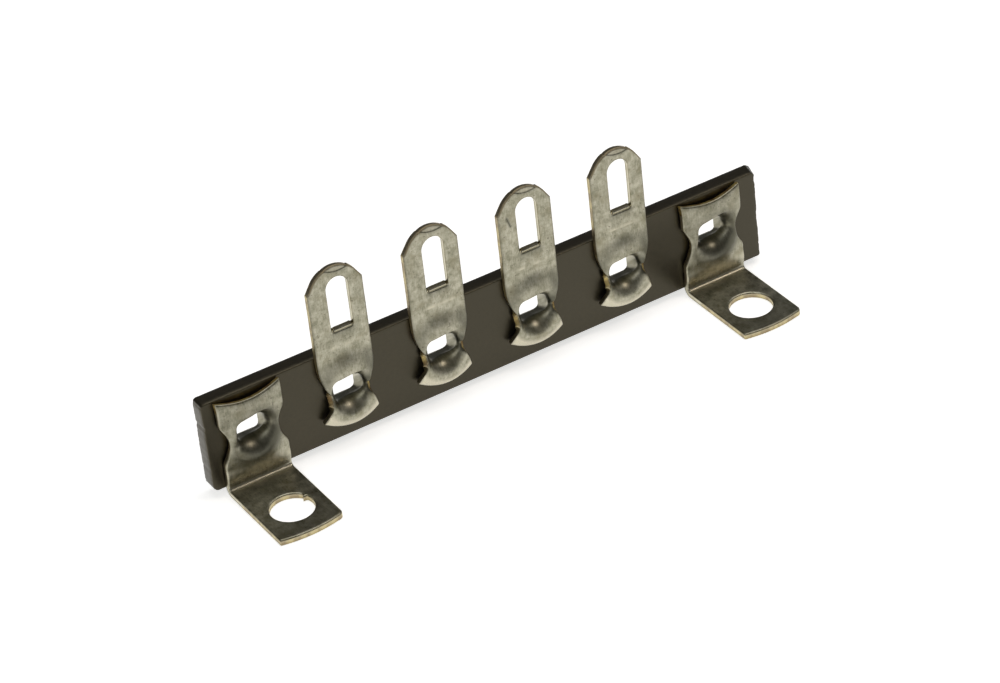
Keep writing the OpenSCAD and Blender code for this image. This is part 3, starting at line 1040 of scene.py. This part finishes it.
def foot_outline():
    """Counter-clockwise from the plate's front left corner, along the blank before it was bent."""
    corner_v = PLATE_V - (PLATE_REACH - PLATE_BULGE)
    side = np.arange(corner_v + PLATE_CORNER_R, TAB_RISE, 0.1)
    half = foot_half(side)
    dip = math.degrees(math.asin(FOOT_HALF / dip_r))
    end_u = FOOT_HALF - PLATE_CORNER_R
    front_bend = ((end_u - FOOT_HALF) / 2, corner_v - 2 * PLATE_BULGE)
    return closed([
        curve((-FOOT_HALF, corner_v), front_bend, (end_u, corner_v)),
        arc((end_u, corner_v + PLATE_CORNER_R), PLATE_CORNER_R, -80, 0),
        np.column_stack([half, side]),
        arc((0, TAB_RISE - TAB_DIP + dip_r), dip_r, 270 + dip, 270 - dip),
        np.column_stack([-half, side])[::-1],
    ], SHEET_STEP)


def tab_front(u, v):
    """How far the tab's front falls from the foot's path, at the eyelet and the top edge, and its marks."""
    du, dv = u - EYELET_SHIFT, v - EYELET_LIFT["foot"]
    away = np.hypot(du, dv)
    turn = np.arctan2(dv, du)
    side = (du / np.maximum(away, 0.5)) ** 2 * smooth((v + 3.6) / 1.2)
    flank = TAB_FLANK * side * smooth((np.hypot(1.5 * du, dv) - 2.2) / 2)
    top = TAB_RISE - TAB_DIP + dip_r - np.sqrt(np.maximum(dip_r ** 2 - u ** 2, 0))
    roll = TOP_ROLL[1] * np.clip(1 - (top - v) / TOP_ROLL[0], 0, 1) ** 2
    # Painted shade: a ring round the mouth, widest below it, and the throat's underside.
    width = 0.65 + 0.35 * np.maximum(-np.sin(turn), 0)
    ring = np.exp(-((away - RING_SHADE_R) / width) ** 2) * (0.55 + 0.4 * np.cos(turn - RING_SHADE_SIDE))
    ring *= smooth((v + 3.3) / 0.6)
    painted_shade = np.clip(ring + throat_shade("foot", du, dv), 0, MOST_SHADE)
    # The tab is darker towards its top, and the plate towards its front.
    top_darkening = 0.2 * smooth((v - 0.8) / 1.2)
    plate_darkening = 0.32 * smooth((PLATE_V - 4 - v) / 4)
    # Painted highlight: a band of spots below the mouth and a line along the bend's crease, where the coat is
    # also pressed smoother.
    highlight_spots = np.exp(-((v - SPOT_V) / SPOT_W) ** 2) * (1 + 0.5 * np.sin(2 * math.pi * u / SPOT_STEP))
    crease = smooth((-4.1 - v) / 0.3) * smooth((v + 5.8) / 0.7)
    bare = 1.3 * np.exp(-(away / FOOT_BARE_REACH) ** 2)
    return flank + roll + mouth_drop("foot", du, dv), {
        "pressed": SPOT_HIGHLIGHT * highlight_spots + CREASE_HIGHLIGHT * crease,
        "strained": painted_shade + top_darkening + plate_darkening,
        "bare": bare + 0.9 * smooth((v - 3.2) / 0.6) + 0.42 * smooth(-6 - v),
        "tarnished": np.zeros_like(u),
    }


# A torn burr hangs in one screw hole.
BURRED = "foot_left"
BURR = 0.3
BURR_TURN = math.radians(27)
BURR_SPREAD = 0.07
for number, name in enumerate(FOOT_NAMES, 5):
    x = middle_x(name)
    lift = EYELET_LIFT["foot"]
    hole = mounts[name.replace("foot", "foot_hole")]
    rings = mouth_rings("foot")
    hole_centre = np.array([hole.x - x, PLATE_V - (FACE_Y - hole.y)])
    screw_hole = arc(hole_centre, HOLE_R, 0, 360, SHEET_STEP / 2)[:-1]
    if name == BURRED:
        turn = np.linspace(0, 2 * math.pi, len(screw_hole), endpoint=False)
        burr = BURR * np.exp(-((turn - BURR_TURN) / BURR_SPREAD) ** 2)
        screw_hole -= (screw_hole - hole_centre) * burr[:, None] / HOLE_R
    loops = [foot_outline(), screw_hole, rings[-1]]
    flat, faces, throat = punch(loops, SHEET_GRID, EDGE_ROWS, rings[:-1])
    u, v = flat.T
    height = np.interp(TAB_RISE - v, path_run, path[:, 0])
    level = np.interp(TAB_RISE - v, path_run, path[:, 1])
    fall, worked = tab_front(u, v)
    foot = solid_sheet(f"{name}_stamping", *clinched(
        "foot", np.column_stack([x + u, FACE_Y - height + fall, EYELET_Z + level]), faces,
        SHEET_T + (NECK_WALL - SHEET_T) * mouth_share("foot", u - EYELET_SHIFT, v - lift) ** 2,
        blank_marks(flat, loops[:2], (EYELET_SHIFT, lift), number) | worked,
        throat, (x + EYELET_SHIFT, EYELET_Z + lift), number,
    ), EDGE_ROLL, BURR_ROLL, sheet_finish)
    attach(foot, "root")
    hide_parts(name)

# Floor, lamps and camera
# The strip stands on a sheet of white paper that runs out into a dim room, under soft lamps above and at the
# sides. The camera looks down on it from the left with a long lens.

FLOOR_HALF = 1.5
FLOOR_DROP = 0.02
# White paper: matt, and evenly bright to the camera and in mirrors, until it fades into the dark of the room.
PAPER = "#F4F4F3"
ROOM_FLOOR = "#3A3A38"
PAPER_REACH = (0.105, 0.2)
PAPER_GLOW = 0.75


def paper_floor():
    material = bpy.data.materials.new("white_paper_floor")
    material.use_nodes = True
    tree = material.node_tree
    tree.nodes.remove(tree.nodes["Principled BSDF"])
    place = add(tree, "ShaderNodeNewGeometry").outputs["Position"]
    away = add(tree, "ShaderNodeVectorMath", {0: place}, operation="LENGTH")
    fade = add(tree, "ShaderNodeMapRange", {
        "Value": away.outputs["Value"], "From Min": PAPER_REACH[0], "From Max": PAPER_REACH[1],
    })
    colour = add(tree, "ShaderNodeMix", {
        0: fade.outputs[0], 6: linear(PAPER), 7: linear(ROOM_FLOOR),
    }, data_type="RGBA")
    seen = add(tree, "ShaderNodeLightPath").outputs
    direct = add(tree, "ShaderNodeMath", {
        0: seen["Is Camera Ray"], 1: seen["Is Glossy Ray"],
    }, operation="MAXIMUM")
    direct = add(tree, "ShaderNodeMath", {
        0: direct.outputs[0], 1: seen["Is Transmission Ray"],
    }, operation="MAXIMUM")
    strength = add(tree, "ShaderNodeMath", {0: direct.outputs[0], 1: PAPER_GLOW}, operation="MULTIPLY")
    paper = add(tree, "ShaderNodeBsdfDiffuse", {"Color": colour.outputs[2]})
    glow = add(tree, "ShaderNodeEmission", {"Color": colour.outputs[2], "Strength": strength.outputs[0]})
    both = add(tree, "ShaderNodeAddShader", {0: paper.outputs[0], 1: glow.outputs[0]})
    tree.links.new(both.outputs[0], tree.nodes["Material Output"].inputs["Surface"])
    return material


floor_mesh = bpy.data.meshes.new("paper_floor")
floor_mesh.from_pydata(
    [(sx * FLOOR_HALF, sy * FLOOR_HALF, -FLOOR_DROP * MM) for sx, sy in ((-1, -1), (1, -1), (1, 1), (-1, 1))],
    [], [(0, 1, 2, 3)],
)
floor_mesh.materials.append(paper_floor())
floor = bpy.data.objects.new("paper_floor", floor_mesh)
bpy.context.scene.collection.objects.link(floor)

ROOM = "#5A5A58"
room = bpy.data.worlds.new("dim_room")
room.use_nodes = True
room.node_tree.nodes["Background"].inputs["Color"].default_value = linear(ROOM)
bpy.context.scene.world = room


def lamp(name, bearing, height, distance, size, power, colour):
    """A square soft lamp that looks at the strip: bearing from the front towards the right, in degrees."""
    data = bpy.data.lights.new(name, "AREA")
    data.size = size
    data.energy = power
    data.color = linear(colour)[:3]
    turn, rise = math.radians(bearing), math.radians(height)
    towards = Vector((math.sin(turn) * math.cos(rise), -math.cos(turn) * math.cos(rise), math.sin(rise)))
    made = bpy.data.objects.new(name, data)
    made.location = towards * distance
    made.rotation_euler = towards.to_track_quat("Z", "Y").to_euler()
    bpy.context.scene.collection.objects.link(made)


lamp("overhead_softbox", bearing=150, height=82, distance=0.6, size=0.3, power=0.8, colour="#FFFFFF")
lamp("left_softbox", bearing=-78, height=37, distance=0.6, size=0.25, power=0.45, colour="#FFFFFF")
lamp("right_softbox", bearing=92, height=50, distance=0.6, size=0.35, power=0.35, colour="#FFFFFF")
lamp("warm_front_lamp", bearing=57, height=58, distance=0.31, size=0.07, power=0.11, colour="#FFEFE2")

CAMERA_BEARING = math.radians(28.105)
CAMERA_HEIGHT = math.radians(33.979)
CAMERA_ROLL = math.radians(-6.749)
CAMERA_DISTANCE = 344.05
CAMERA_AIM = Vector((1.221, FACE_Y, 3.378))
SENSOR = 36
LENS = 140.193
looks = Vector((
    math.sin(CAMERA_BEARING) * math.cos(CAMERA_HEIGHT),
    math.cos(CAMERA_BEARING) * math.cos(CAMERA_HEIGHT),
    -math.sin(CAMERA_HEIGHT),
))
camera_data = bpy.data.cameras.new("camera")
camera_data.sensor_width = SENSOR
camera_data.lens = LENS
camera_data.clip_start = 0.01
camera = bpy.data.objects.new("camera", camera_data)
camera.matrix_world = Matrix.Translation((CAMERA_AIM - looks * CAMERA_DISTANCE) * MM) @ (
    looks.to_track_quat("-Z", "Y").to_matrix() @ Matrix.Rotation(CAMERA_ROLL, 3, "Z")
).to_4x4()
bpy.context.scene.collection.objects.link(camera)
bpy.context.scene.camera = camera
bpy.context.scene.view_settings.view_transform = "Standard"
